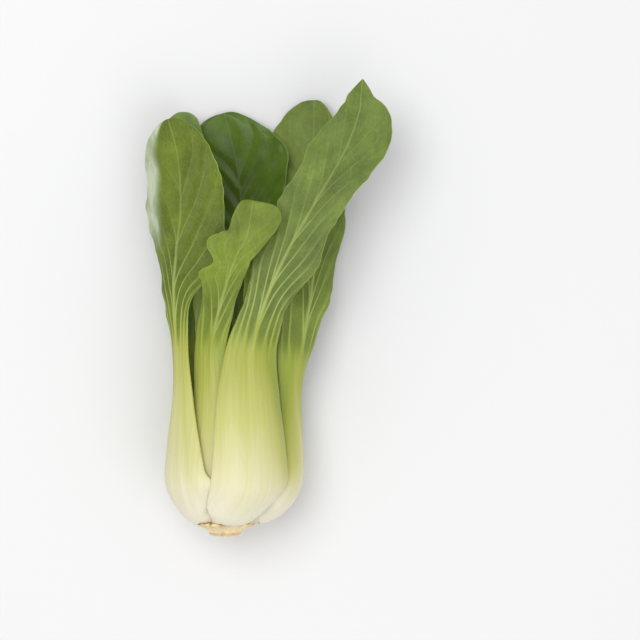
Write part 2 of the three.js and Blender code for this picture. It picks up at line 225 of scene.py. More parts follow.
# How each leaf is drawn. grid is its rows and columns. fan is the strands of veins that rise from the
# stalk on either side, by their place across the neck, and veins how many more leave the rib. pucker
# is how deep the blade is puckered between them, in mm. green is how much greener the stalk is than
# the front one: all over, towards its left margin and towards its right one, where the green is partly
# the stalk's own and partly painted shade on the side turned from the light. blade_from is the
# station from which it is green tissue, if that isn't at the neck. tuck is the margin tucked under
# the next stalk near the crown: its side, how much wider and deeper it is in mm, and the y from which
# and to which that fades.
DETAIL = {
    "leaf_front": {"grid": (340, 116), "fan": (0.84, 0.56, 0.28), "veins": 5, "pucker": 0.65,
                   "green": (0.0, 0.04, 0.44)},
    "leaf_left": {"grid": (340, 116), "fan": (0.86, 0.58, 0.3), "veins": 4, "pucker": 0.8,
                  "green": (-0.14, 0.3, 0.06), "tuck": (1, 3.4, 2.8, 24, 37)},
    "leaf_middle": {"grid": (290, 100), "fan": (0.74, 0.38), "veins": 4, "pucker": 0.7,
                    "green": (0.05, 0.08, 0.34)},
    "leaf_back": {"grid": (300, 112), "fan": (0.7, 0.36), "veins": 7, "pucker": 0.8,
                  "green": (0.1, 0.2, 0.2)},
    "leaf_right": {"grid": (300, 96), "fan": (0.75, 0.4), "veins": 6, "pucker": 0.45,
                   "green": (0.1, 0.4, 0.12), "blade_from": 4.15, "tuck": (-1, 5.5, 4.5, 24, 44)},
    "leaf_back_left": {"grid": (260, 80), "fan": (0.75, 0.4), "veins": 6, "pucker": 0.5,
                       "green": (0.1, 0.2, 0.2)},
}
YOUNG_DETAIL = {"grid": (150, 44), "fan": (0.7, 0.35), "veins": 4, "pucker": 0.4,
                "green": (0.25, 0.1, 0.1)}
HEART_DETAIL = {"grid": (100, 32), "fan": (0.6,), "veins": 3, "pucker": 0.3,
                "green": (0.25, 0.1, 0.1)}
DETAIL.update(dict.fromkeys(("inner_right", "inner_back", "inner_left"), YOUNG_DETAIL))
DETAIL.update(dict.fromkeys(("heart_right", "heart_left"), HEART_DETAIL))
NO_TUCK = (1, 0, 0, 0, 1)
NO_FOLD = {"u": -1.1, "angle": 0, "stretch": 1, "from": 0, "to": 1}

# The veins, in mm: half widths of a strand, of the first and the last vein that leaves the rib, of
# every vein's end, and of a branch's start and end; how far below the neck a strand starts. Then
# the number of points along a vein
STRAND_WIDTH = 0.78
VEIN_WIDTHS = (0.6, 0.36)
VEIN_END_WIDTH = 0.26
BRANCH_WIDTHS = (0.34, 0.2)
STRAND_START = 26
VEIN_POINTS = 50

# The blade's surface, in mm: waves of its margin and their length, swells, relief of the veins, how
# far from a vein the tissue puckers, and how far from it the stalk's colour reaches
RUFFLE_HEIGHT = 0.7
RUFFLE_LENGTH = 11.5
SWELL_HEIGHT = 0.55
VEIN_RELIEF = 0.26
PUCKER_REACH = 2.6
VEIN_COLOUR_REACH = 1.1
# Heights of the stalk's lengthwise flutes, in mm: the broad ones, the fine ones and the uneven ones
FLUTE_HEIGHTS = (0.09, 0.03, 0.06)

# Tones as red, green and blue from 0 to 255: the stalk's, from its base to its shoulder, and where
# they lie on the way there; the veins' on the outer and the inner side; the tissue's at the neck; the
# painted pale sheen of a folded margin, where light catches the fold; each blade's on its outer and
# its inner side; a stalk's cut end. Then the crown's, with their places in its patches, those of its
# grain, fibres and scars, and the floor's
STALK_TONES = ((232, 227, 204), (217, 212, 165), (194, 194, 116), (168, 173, 81), (149, 162, 64))
STALK_STOPS = (0.0, 0.22, 0.5, 0.8, 1.0)
VEIN_TONE = (172, 187, 106)
INNER_VEIN_TONE = (130, 152, 82)
NECK_TONE = (124, 139, 50)
FOLD_SHEEN_TONE = (199, 209, 184)
BLADE_TONES = {
    "leaf_front": ((101, 118, 51), (72, 98, 30)),
    "leaf_left": ((95, 111, 26), (76, 100, 30)),
    "leaf_middle": ((112, 130, 40), (90, 112, 36)),
    "leaf_back": ((106, 124, 50), (76, 102, 16)),
    "leaf_right": ((111, 130, 53), (72, 98, 32)),
    "leaf_back_left": ((108, 124, 54), (120, 142, 68)),
}
YOUNG_TONES = ((134, 152, 60), (106, 128, 46))
CUT_TONE = (196, 150, 92)
CROWN_TONES = ((230, 196, 142), (246, 225, 178), (250, 238, 206))
CROWN_STOPS = (0.3, 0.48, 0.7)
GRAIN_TONE = (214, 168, 108)
FIBRE_TONE = (190, 142, 90)
SCAR_TONE = (168, 122, 76)
FLOOR_TONE = (231, 231, 232)

# Roughness of a stalk; roughness, specular level and depth of the net of veins of a blade's two sides
STALK_ROUGHNESS = 0.4
OUTER_FINISH = (0.52, 0.26, 0.25)
INNER_FINISH = (0.4, 0.34, 0.1)

# The crown's outline, each point as its distance from the axis and along it; its rings and sides
CROWN_PROFILE = (
    (0.02, 1.0), (3.0, 0.6), (5.2, 0.1), (6.8, 0.4), (8.1, 1.4), (9.1, 2.8), (10.8, 4.1), (13.2, 5.2),
    (15.6, 6.4), (14.8, 8), (12.4, 8.9), (10.4, 11), (8.2, 14.2), (6.4, 16), (5, 18.6), (3.2, 21),
    (0.02, 26),
)
CROWN_RINGS = 110
CROWN_SIDES = 180

# The light: of the sky all round, and of two round lamps, each as place, size in metres and watts
SKY_STRENGTH = 0.66
LAMPS = {
    "key": ((-0.32, 0.28, 1.3), 0.9, 8.0),
    "fill": ((0.4, -0.6, 1.2), 1.1, 3.9),
}
LAMP_TARGET = (0, 0, 0.03)
FLOOR_HALF_SIDE = 3.0

# The photograph's frame: its side in pixels, how many millimetres a pixel covers at the height of
# the head's axis, and its middle in the head's own axes. Then the camera's height in metres and its
# sensor's width in mm
PHOTO_SIDE = 640
MM_PER_PIXEL = 0.53
PHOTO_MIDDLE = (46.6, 114.5)
CAMERA_HEIGHT = 1.6
SENSOR = 36.0


def smoothstep(x, low, high):
    """0 below low, 1 above high, and smooth in between."""
    t = np.clip((x - low) / (high - low), 0, 1)
    return t * t * (3 - 2 * t)


def mix(a, b, t):
    """From a to b as t goes from 0 to 1."""
    return a + (b - a) * t


def through(rows, p):
    """A smooth curve through rows of numbers, a cubic one, at places p counted in rows."""
    rows = np.asarray(rows, float)
    last = len(rows) - 1
    i = np.clip(np.floor(p).astype(int), 0, last - 1)
    f = (p - i)[:, None]
    a, b, c, d = (rows[np.clip(i + k, 0, last)] for k in (-1, 0, 1, 2))
    linear = (c - a) * f
    square = (2 * a - 5 * b + 4 * c - d) * f * f
    cube = (3 * b - a - 3 * c + d) * f * f * f
    return b + (linear + square + cube) / 2


def noise(x, y, seed):
    """Smooth noise from -1 to 1 over the plane, with a step of one between its random values."""
    values = np.random.default_rng(seed).uniform(-1, 1, (NOISE_VALUES, NOISE_VALUES))
    i = np.floor(x).astype(int)
    j = np.floor(y).astype(int)
    f = smoothstep(x - i, 0, 1)
    g = smoothstep(y - j, 0, 1)
    i, next_i = i % NOISE_VALUES, (i + 1) % NOISE_VALUES
    j, next_j = j % NOISE_VALUES, (j + 1) % NOISE_VALUES
    low = mix(values[i, j], values[next_i, j], f)
    high = mix(values[i, next_j], values[next_i, next_j], f)
    return mix(low, high, g)


def root_offset(along):
    """How far off the axis the middle of the head is, so far along it."""
    return ROOT_OFFSET * np.maximum(0, 1 - along / LEAN_REACH)


def stations_of(leaf):
    """Every station of a leaf, from the crown to the tip."""
    layer = LAYERS[leaf["layer"]]
    stations = []
    for i, (radius, along) in enumerate(zip(layer["radius"], layer["along"])):
        base = leaf.get("base", 1) if i == 1 else 1
        out = radius * (base if i < 2 else leaf.get("swell", 1))
        half = leaf["spoon"] * mix(SPOON_BROAD[i], SPOON_TAPERED[i], leaf["taper"]) * math.sqrt(base)
        towards_shoulder = (along / layer["along"][4]) ** 2
        facing = leaf["facing"] + leaf.get("root_turn", 0) * max(0, 1 - along / ROOT_REACH)
        turn = math.radians(facing)
        x = out * math.sin(turn) + root_offset(along) + leaf.get("lean", 0) * towards_shoulder
        z = AXIS_HEIGHT + out * math.cos(turn)
        face = facing + leaf.get("twist", 0) * towards_shoulder
        cup = 1000 * ROUND_SHARE[i] / (out * leaf.get("roundness", 1))
        stations.append((x, along, z, face, half, half, cup))
    return np.array(stations + list(leaf["blade"]), float)


def places_of(stations, rows, point):
    """Places along the leaf, even by length and closer as the tip rounds off: p, length, narrow."""
    last = len(stations) - 1
    p = np.linspace(ROOT_START, last, LENGTH_STEPS)
    points = through(stations, p)[:, :3]
    steps = np.linalg.norm(np.diff(points, axis=0), axis=1)
    length = np.concatenate([[0], np.cumsum(steps)])
    length -= np.interp(0, p, length)
    total = length[-1]
    rounded = total - np.interp(last - 1, p, length)
    tip_rows = rows // TIP_ROWS_IN
    straight = np.linspace(length[0], total - rounded, rows - tip_rows + 1)
    turn = np.linspace(0, math.pi / 2, tip_rows + 1)[1:]
    lengths = np.concatenate([straight, total - rounded + rounded * np.sin(turn)])
    closing = np.maximum(TIP_WIDTH, np.maximum(0, np.cos(turn)) ** point)
    narrow = np.concatenate([np.ones(len(straight)), closing])
    return np.interp(lengths, length, p), lengths, narrow


def vein_lines(detail, neck, tip, rng):
    """The veins of both halves of a blade. Each is its lengths along the leaf, its places across it
    and its widths in mm. None crosses another: they start and end in the same order, and a branch
    runs between the two that it starts among."""
    fan, count = detail["fan"], detail["veins"]
    total = len(fan) + count
    t = np.linspace(0, 1, VEIN_POINTS)
    lines = []
    for side in (-1, 1):
        mains = []
        for i in range(total):
            share = (i + 0.75 + rng.uniform(-0.15, 0.15)) / total
            end = mix(neck + 6, tip - 1, share ** 0.75)
            if i < len(fan):
                start, across, curve, width = neck - STRAND_START, side * fan[i], 1.9, STRAND_WIDTH
            else:
                rise = (i - len(fan) + 0.3 + rng.uniform(-0.1, 0.1)) / count
                start, across, curve = mix(neck + 4, mix(neck, tip, 0.8), rise), 0.0, 1.35
                width = mix(*VEIN_WIDTHS, rise)
            wander = 0.012 * np.sin(t * rng.uniform(5, 9) + rng.uniform(0, 6)) * np.sin(math.pi * t)
            u = across + (side * 0.99 - across) * t ** curve + wander
            mains.append((mix(start, end, t), u))
            lines.append((mix(start, end, t), u, mix(width, VEIN_END_WIDTH, t)))
        for low, high in zip(mains[:-1], mains[1:]):
            for first, second, goal, earliest in ((low, high, 0.36, 0.28), (high, low, 0.34, 0.46)):
                fork = int(VEIN_POINTS * (earliest + rng.uniform(0, 0.16)))
                leave = goal * smoothstep(t[fork:], t[fork], 1.1)
                s = mix(first[0][fork:], second[0][fork:], leave)
                u = mix(first[1][fork:], second[1][fork:], leave)
                lines.append((s, u, np.linspace(*BRANCH_WIDTHS, len(s))))
    return lines


def vein_masks(lines, s, u, half):
    """How much each point is on a vein, from 0 to 1, and its distance in mm to the nearest big one."""
    along = s[:, 0]
    mask = np.zeros_like(u * s)
    nearest = np.full(mask.shape, 1e3)
    for lengths, places, widths in lines:
        path = np.interp(along, lengths, places)
        slope = (np.gradient(path, along) * half.max(1))[:, None]
        width = np.interp(along, lengths, widths)[:, None]
        away = (np.maximum(lengths[0] - along, 0) + np.maximum(along - lengths[-1], 0))[:, None]
        distance = np.hypot((u - path[:, None]) * half / np.sqrt(1 + slope * slope), away)
        strength = np.clip(width / 0.5, 0.35, 1)
        mask = np.maximum(mask, strength * np.exp(-((distance / width) ** 2)))
        if widths[0] > 0.35:
            nearest = np.minimum(nearest, distance)
    return mask, nearest


def cross_curve(arc, cup):
    """The leaf's cross curve, a circle's: how far sideways and inwards it gets over an arc of it."""
    bend = cup / 1000 * arc
    return arc * np.sinc(bend / math.pi), arc * bend / 2 * np.sinc(bend / TURN) ** 2


def directions(stations, p, face):
    """Unit vectors at places along a leaf: out of its outer side, and across it to its right."""
    ahead = through(stations, np.minimum(p + REACH, len(stations) - 1))[:, :3]
    behind = through(stations, np.maximum(p - REACH, ROOT_START))[:, :3]
    tangent = ahead - behind
    turn = np.radians(face)
    outward = np.stack([np.sin(turn), 0 * turn, np.cos(turn)], 1)
    aside = np.stack([np.cos(turn), 0 * turn, -np.sin(turn)], 1)
    sheared = (1 - smoothstep(p, 2, 5))[:, None]
    tangent -= aside * np.sum(tangent * aside, 1, keepdims=True) * sheared
    tangent /= np.linalg.norm(tangent, axis=1, keepdims=True)
    outward -= np.sum(outward * tangent, 1, keepdims=True) * tangent
    outward /= np.linalg.norm(outward, axis=1, keepdims=True)
    return outward[:, None, :], np.cross(tangent, outward)[:, None, :]


class Leaf:
    """A leaf as grids of values, with a row for each place along it and a column for each across it.
    p is the place along it counted in stations, s its length in mm, and u the place across it, from
    -1 at the left margin to 1 at the right one."""

    def __init__(self, name, seed):
        self.leaf = LEAVES[name]
        self.detail = DETAIL[name]
        self.seed = seed
        rows, columns = self.detail["grid"]
        stations = stations_of(self.leaf)
        p, length, narrow = places_of(stations, rows, self.leaf.get("point", 1))
        values = through(stations, p)
        self.centre = values[:, None, :3]
        self.outward, self.across = directions(stations, p, values[:, 3])
        self.y, self.left, self.right, self.cup = (values[:, [i]] for i in (1, 4, 5, 6))
        self.p, self.s, self.narrow = p[:, None], length[:, None], narrow[:, None]
        self.last = len(stations) - 1
        self.neck = float(np.interp(NECK_AT, p, length))
        self.tip = float(length[-1])
        v = np.linspace(-1, 1, columns + 1)[None, :]
        self.u = v * (1.12 - 0.12 * v * v)
        self.side = np.where(self.u < 0, 0.0, RIGHT_SIDE)
        self.blade = smoothstep(self.p, 5, 6.5)
        self.to_blade = smoothstep(self.p, 4, 6)
        self.set_margins()
        self.set_cross_curve()
        self.set_veins()

    def noise(self, x, y, number):
        """The leaf's own noise of that number."""
        return noise(x, y, self.seed + number)

    def set_margins(self):
        """The margins' waves, where a margin is tucked in, and the half widths of the leaf."""
        s, u, y, side = self.s, self.u, self.y, self.side
        self.wave_height, wavelength, phase = self.leaf["wave"]
        self.wave = TURN * (s / wavelength + phase) + np.where(u < 0, 1.9, 0)
        notch = np.ones_like(s * u)
        for at, depth, width in self.leaf.get("notches", ()):
            notch -= np.where(u < 0, depth * np.exp(-(((y - at) / width) ** 2)), 0)
        tuck_side, tuck_width, self.tuck_depth, fade_from, fade_to = self.detail.get("tuck", NO_TUCK)
        self.tucked = (1 - smoothstep(y, fade_from, fade_to)) * (u * tuck_side > 0)
        fine = 0.35 * self.noise(s / 3.1 + side, side, 1)
        jitter = fine + 0.5 * self.noise(s / 8.3 + side, side, 2)
        uneven = self.blade * jitter * smoothstep(np.abs(u), 0.5, 1)
        half = np.where(u < 0, self.left, self.right) * notch
        half = half * (1 + 0.05 * self.blade * np.sin(self.wave * 1.3 + 0.7))
        self.half = (half + tuck_width * self.tucked + uneven) * self.narrow

    def set_cross_curve(self):
        """The way across the leaf: its arc, how far sideways and inwards it gets, and its bend."""
        u, half = self.u, self.half
        fold = self.leaf.get("fold", NO_FOLD)
        folded = smoothstep(self.y, fold["from"], fold["to"])
        flat = u * half
        crease = fold["u"] * half
        widened = crease + (flat - crease) * mix(1, fold["stretch"], folded)
        self.arc = np.where(u < fold["u"], widened, flat)
        turned = math.radians(fold["angle"]) * folded * smoothstep(fold["u"] - u, 0, FOLD_WIDTH)
        whole_sideways, whole_inwards = cross_curve(self.arc, self.cup)
        start_sideways, start_inwards = cross_curve(crease, self.cup)
        run = whole_sideways - start_sideways
        fall = whole_inwards - start_inwards
        self.sideways = start_sideways + run * np.cos(turned) + fall * np.sin(turned)
        inwards = start_inwards - run * np.sin(turned) + fall * np.cos(turned)
        self.inwards = inwards + self.tuck_depth * self.tucked * smoothstep(np.abs(u), 0.7, 1)
        self.bend = self.cup / 1000 * self.arc - turned
        # Where a folded margin gets its painted pale sheen, the light caught by the fold
        self.fold_sheen = folded * smoothstep(fold["u"] - u, -0.04, 0.2)

    def set_veins(self):
        """The veins, the distance to the nearest big one, and the rib."""
        rng = np.random.default_rng(self.seed)
        lines = vein_lines(self.detail, self.neck, self.tip, rng)
        self.vein, self.nearest = vein_masks(lines, self.s, self.u, np.maximum(self.half, 0.5))
        rib_width = mix(*RIB_HALF_WIDTH, smoothstep(self.p, 5, self.last - 0.5))
        self.rib = np.exp(-((self.arc / rib_width) ** 2)) * np.minimum(1, self.half / rib_width)
        self.young = smoothstep(self.p, 4.2, 5.6)

    def lift(self):
        """How far the middle of the leaf is lifted off its plain curves, outwards."""
        s, u, side, blade = self.s, self.u, self.side, self.blade
        tip_fade = np.sqrt(self.narrow)
        from_margin = self.half * (1 - np.abs(u))
        ripple = blade * self.wave_height * np.abs(u) ** 2.2 * np.sin(self.wave) * tip_fade
        ruffle_phase = TURN * s / RUFFLE_LENGTH + 3 * self.noise(s / 17 + side, side, 3)
        ruffle = blade * RUFFLE_HEIGHT * np.abs(u) ** 5 * np.sin(ruffle_phase)
        ruffle = ruffle * tip_fade * smoothstep(self.noise(s / 14 + side + 3, side, 4), -0.6, 0.7)
        swell = blade * SWELL_HEIGHT * self.noise(self.arc / 9 + 9, s / 12, 5)
        swell = swell * smoothstep(self.half, 4, 10)
        off_vein = 1 - np.exp(-((self.nearest / PUCKER_REACH) ** 2))
        pucker = blade * self.detail["pucker"] * off_vein * smoothstep(from_margin, 0, 5)
        return ripple + ruffle + swell - pucker

    def thickness(self):
        """Half the leaf's thickness: a crescent in the stalk, thin with a rib in the blade."""
        u, to_blade = self.u, self.to_blade
        rib_rows = [[share] for share in RIB_SHARE]
        rib_share = through(rib_rows, np.clip(self.p[:, 0], 0, len(RIB_SHARE) - 1))
        rib_depth = rib_share * LAYERS[self.leaf["layer"]]["thickness"]
        edge = mix(STALK_EDGE, BLADE_THICKNESS, to_blade)
        crescent = np.maximum(0, 1 - u * u) ** 0.8
        depth = edge + np.maximum(0, rib_depth - edge * 0.2) * mix(crescent, self.rib, to_blade)
        rim = np.sqrt(np.maximum(0, 1 - np.abs(u) ** 24))
        return depth / 2 * mix(0.25, 1, rim)

    def flutes(self):
        """The height of the flutes that run along the stalk's outer side."""
        s, u = self.s, self.u
        broad, fine, uneven = FLUTE_HEIGHTS
        flutes = broad * np.cos(TURN * 3 * u + 1.2 * self.noise(s / 60, 0 * s, 6))
        flutes = flutes + fine * np.cos(TURN * 6.5 * u + self.seed)
        flutes = flutes + uneven * self.noise(u * 9 + 20, s / 70, 7)
        return flutes * (1 - smoothstep(self.p, 4.5, 6)) * (1 - u * u)

    def faces(self):
        """The points of the outer and of the inner face."""
        bend = self.bend[..., None]
        normal = self.outward * np.cos(bend) + self.across * np.sin(bend)
        middle = self.centre + self.across * self.sideways[..., None]
        middle = middle - self.outward * self.inwards[..., None]
        middle = middle + normal * self.lift()[..., None]
        from_margin = self.half * (1 - np.abs(self.u))
        relief = VEIN_RELIEF * self.vein * self.young * smoothstep(from_margin, 0, 2)
        depth = self.thickness()
        inner_depth = depth * mix(1, 0.75, self.rib * self.to_blade) - 0.4 * relief
        outer = middle + normal * (depth + self.flutes() + relief)[..., None]
        inner = middle - normal * inner_depth[..., None]
        outer[..., 2] = np.maximum(outer[..., 2], FLOOR_GAP)
        inner[..., 2] = np.maximum(inner[..., 2], RESTING_SKIN * (1 - 0.4 * self.to_blade))
        return outer, inner

    def greening(self):
        """How far the stalk has turned from cream at its base to green at its shoulder, with painted
        shade on its right.
        """
        y, u = self.y, self.u
        greener, greener_left, greener_and_shaded_right = self.detail["green"]
        on_stalk = smoothstep(y, 14, 44) * (1 - self.blade)
        uneven = y + 5 * self.noise(u * 5 + 30, self.s / 45, 8)
        greening = np.clip((uneven - 14) / 100 + greener * smoothstep(y, 40, 80), 0, 1)
        greening = greening + greener_left * smoothstep(-u, 0.1, 1) * on_stalk
        # Towards the right margin the green is partly the stalk's own and partly painted shade, away
        # from the light
        return greening + greener_and_shaded_right * smoothstep(u, 0.1, 1) * on_stalk

    def looks(self):
        """What the materials need at each point, from 0 to 1."""
        p, s = self.p, self.s
        full = np.ones_like(self.u * s)
        blade_from = self.detail.get("blade_from", NECK_AT)
        faded = mix(1, 0.48, smoothstep(s, self.neck, mix(self.neck, self.tip, 0.7)))
        veins = np.maximum(self.vein * self.young, 0.9 * self.rib * self.to_blade)
        between = 1 - np.exp(-((self.nearest / VEIN_COLOUR_REACH) ** 2))
        return {
            "green": self.greening() * full,
            "vein": np.clip(veins * faded, 0, 1),
            "margin": np.abs(self.u) * full,
            "blade": smoothstep(p, blade_from, blade_from + COLOUR_SPAN) * full,
            "cut": (1 - smoothstep(s, -3.5, 1.5)) * full,
            "between": between * smoothstep(p, NECK_AT, 5.4) * full,
            "neck": (1 - smoothstep(s, self.neck, self.neck + 45)) * full,
            "fold_sheen": self.fold_sheen * full,
        }

    def uv(self):
        """A flat map of the leaf in centimetres, elsewhere in the patterns for each leaf."""
        full = np.ones_like(self.u * self.s)
        return np.stack([self.arc / 10 + 3 * (self.seed % 17), self.s / 10 * full], -1)


def grid_faces(rows, columns):
    """The numbers of a grid's points, by row and column, and its faces."""
    at = np.arange((rows + 1) * (columns + 1)).reshape(rows + 1, columns + 1)
    faces = np.stack([at[:-1, :-1], at[:-1, 1:], at[1:, 1:], at[1:, :-1]], -1).reshape(-1, 4)
    return at, faces


def leaf_faces(rows, columns):
    """Faces of both grids and of the strips round their edges, and which of them are inner ones."""
    at, outer = grid_faces(rows, columns)
    other = at + at.size
    inner = outer[:, ::-1] + at.size
    strips = (
        (at[:-1, 0], at[1:, 0], other[1:, 0], other[:-1, 0]),
        (other[:-1, -1], other[1:, -1], at[1:, -1], at[:-1, -1]),
        (other[0, :-1], other[0, 1:], at[0, 1:], at[0, :-1]),
        (at[-1, :-1], at[-1, 1:], other[-1, 1:], other[-1, :-1]),
    )
    faces = np.concatenate([outer, inner] + [np.stack(strip, -1) for strip in strips])
    is_inner = np.zeros(len(faces), int)
    is_inner[len(outer):len(outer) + len(inner)] = 1
    return faces, is_inner


def make_mesh(name, points, faces, looks, uv, materials, slots):
    """A smooth-shaded mesh object from arrays, in metres, with its attributes and UV map."""
    mesh = bpy.data.meshes.new(name)
    mesh.vertices.add(len(points))
    mesh.vertices.foreach_set("co", points.astype(np.float32).ravel())
    mesh.loops.add(faces.size)
    mesh.loops.foreach_set("vertex_index", faces.astype(np.int32).ravel())
    mesh.polygons.add(len(faces))
    mesh.polygons.foreach_set("loop_start", np.arange(0, faces.size, 4, dtype=np.int32))
    mesh.polygons.foreach_set("material_index", slots.astype(np.int32))
    mesh.update(calc_edges=True)
    mesh.shade_smooth()
    for key, values in looks.items():
        attribute = mesh.attributes.new(key, "FLOAT", "POINT")
        attribute.data.foreach_set("value", values.astype(np.float32).ravel())
    layer = mesh.uv_layers.new(name="leaf")
    layer.data.foreach_set("uv", uv[faces.ravel()].astype(np.float32).ravel())
    for material in materials:
        mesh.materials.append(material)
    made = bpy.data.objects.new(name, mesh)
    bpy.context.scene.collection.objects.link(made)
    return made


def tone(rgb):
    """A screen tone from 0 to 255 as a linear colour."""
    c = np.asarray(rgb, float) / 255
    c = np.where(c <= 0.04045, c / 12.92, ((c + 0.055) / 1.055) ** 2.4)
    return (*c, 1.0)


class Nodes:
    """Short names for the few shader nodes that the materials are made of."""

    def __init__(self, name):
        self.material = bpy.data.materials.new(name)
        self.material.use_nodes = True
        self.tree = self.material.node_tree
        self.shader = self.tree.nodes["Principled BSDF"]

    def put(self, socket, value):
        """A link where the value is a node's output, else a constant."""
        if isinstance(value, bpy.types.NodeSocket):
            self.tree.links.new(value, socket)
        else:
            socket.default_value = value

    def attribute(self, name):
        node = self.tree.nodes.new("ShaderNodeAttribute")
        node.attribute_name = name
        return node.outputs["Fac"]

    def math(self, operation, a, b=0.0):
        node = self.tree.nodes.new("ShaderNodeMath")
        node.operation = operation
        self.put(node.inputs[0], a)
        self.put(node.inputs[1], b)
        return node.outputs[0]

    def spread(self, value, low, high, to_low=0.0, to_high=1.0):
        """The value taken smoothly from one range to another."""
        node = self.tree.nodes.new("ShaderNodeMapRange")
        node.interpolation_type = "SMOOTHSTEP"
        self.put(node.inputs["Value"], value)
        ends = {"From Min": low, "From Max": high, "To Min": to_low, "To Max": to_high}
        for socket, number in ends.items():
            node.inputs[socket].default_value = number
        return node.outputs["Result"]

    def pattern(self, kind, across, along):
        """A pattern on the piece's flat map, with about so many features in a cm across and along."""
        uv = self.tree.nodes.new("ShaderNodeUVMap")
        uv.uv_map = "leaf"
        place = self.tree.nodes.new("ShaderNodeMapping")
        place.inputs["Scale"].default_value = (across, along, 1.0)
        self.tree.links.new(uv.outputs["UV"], place.inputs["Vector"])
        node = self.tree.nodes.new(kind)
        self.tree.links.new(place.outputs["Vector"], node.inputs["Vector"])
        node.inputs["Scale"].default_value = 1.0
        return node

    def noise(self, across, along, detail, roughness=0.55):
        node = self.pattern("ShaderNodeTexNoise", across, along)
        node.inputs["Detail"].default_value = detail
        node.inputs["Roughness"].default_value = roughness
        return node.outputs["Fac"]

    def cells(self, across, along):
        """The distance to the edge of the nearest cell."""
        node = self.pattern("ShaderNodeTexVoronoi", across, along)
        node.feature = "DISTANCE_TO_EDGE"
        return node.outputs["Distance"]

    def ramp(self, value, stops):
        node = self.tree.nodes.new("ShaderNodeValToRGB")
        self.put(node.inputs["Fac"], value)
        elements = node.color_ramp.elements
        while len(elements) < len(stops):
            elements.new(0.5)
        for element, (position, rgb) in zip(elements, stops):
            element.position = position
            element.color = tone(rgb)
        return node.outputs["Color"]

    def blend(self, share, a, b):
        node = self.tree.nodes.new("ShaderNodeMix")
        node.data_type = "RGBA"
        self.put(node.inputs[0], share)
        self.put(node.inputs[6], a)
        self.put(node.inputs[7], b)
        return node.outputs[2]

    def bump(self, heights):
        """Bumps chained one after the other, each (height, strength, distance in metres)."""
        normal = None
        for height, strength, distance in heights:
            node = self.tree.nodes.new("ShaderNodeBump")
            node.inputs["Strength"].default_value = strength
            node.inputs["Distance"].default_value = distance
            self.put(node.inputs["Height"], height)
            if normal:
                self.tree.links.new(normal, node.inputs["Normal"])
            normal = node.outputs["Normal"]
        self.tree.links.new(normal, self.shader.inputs["Normal"])


